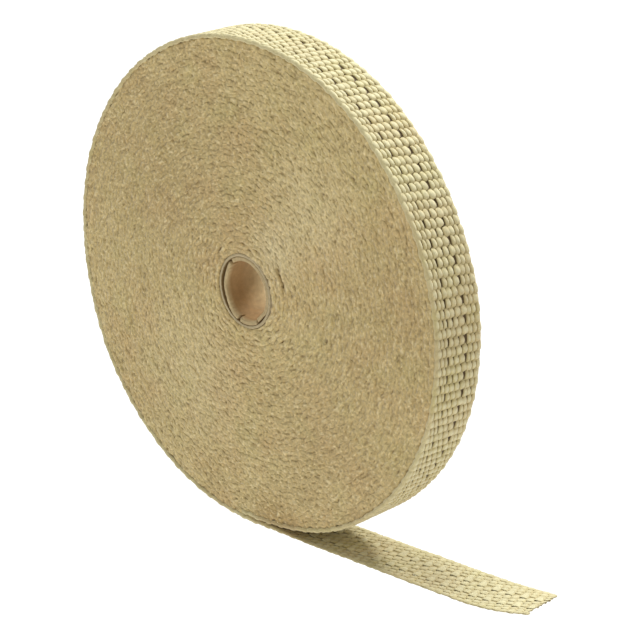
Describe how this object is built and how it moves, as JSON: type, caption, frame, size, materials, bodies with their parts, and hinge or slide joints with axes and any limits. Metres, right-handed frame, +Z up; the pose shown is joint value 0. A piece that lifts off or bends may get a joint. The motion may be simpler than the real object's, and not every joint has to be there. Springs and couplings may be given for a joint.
{
  "type": "exhaust heat wrap",
  "caption": "Roll of woven heat-resistant tape wound flat on a cardboard core, standing on its rim with its free end laid out on the floor.",
  "frame": {"origin": "on the floor, under the middle of the object's box", "axes": "+Z up; +X along the free end, away from the roll; the roll's axis runs along Y"},
  "size_m": [0.2658, 0.0254, 0.22],
  "materials": {
    "woven_glass_tape": "matt woven glass-fibre tape, tan, with a soft sheen on its yarns",
    "core_cardboard": "plain wound cardboard, greyish brown on its cut ends"
  },
  "bodies": {
    "root": {"wrap_tape": "woven_glass_tape", "core_tube": "core_cardboard"}
  },
  "joints": []
}
